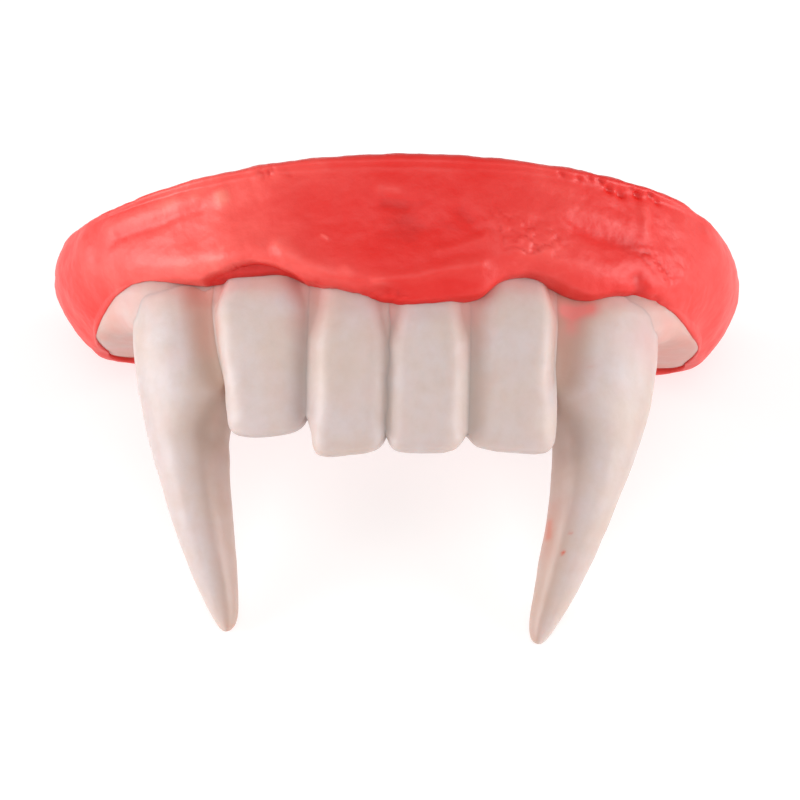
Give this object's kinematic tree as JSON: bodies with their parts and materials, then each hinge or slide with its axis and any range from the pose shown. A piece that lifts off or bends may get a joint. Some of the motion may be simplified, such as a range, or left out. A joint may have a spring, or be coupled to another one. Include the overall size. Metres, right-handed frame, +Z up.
{
  "type": "vampire fang denture",
  "caption": "Costume denture for the upper jaw: a red gum tray with a channel for the wearer's teeth, white incisors and two long fangs.",
  "frame": {"origin": "on the surface that the denture rests on, under the middle of its bounding box", "axes": "+Z up; X across the mouth, from the left of the picture to its right; -Y towards the viewer, where the fang tips point. The denture rests on its fang tips and the two ends of its arch, leaning back, so its own biting plane is tipped by about 58 degrees about X"},
  "size_m": [0.06, 0.0402, 0.0295],
  "materials": {
    "gum": "satin red paint on soft cast vinyl, uneven and slightly see-through",
    "tooth": "satin off-white soft cast vinyl",
    "tooth_bed": "off-white soft cast vinyl with a faint red tint"
  },
  "bodies": {
    "root": {"gum": "gum", "tooth_bed": "tooth_bed", "left_central_incisor": "tooth", "right_central_incisor": "tooth", "left_lateral_incisor": "tooth", "right_lateral_incisor": "tooth", "left_fang": "tooth", "right_fang": "tooth"}
  },
  "joints": []
}
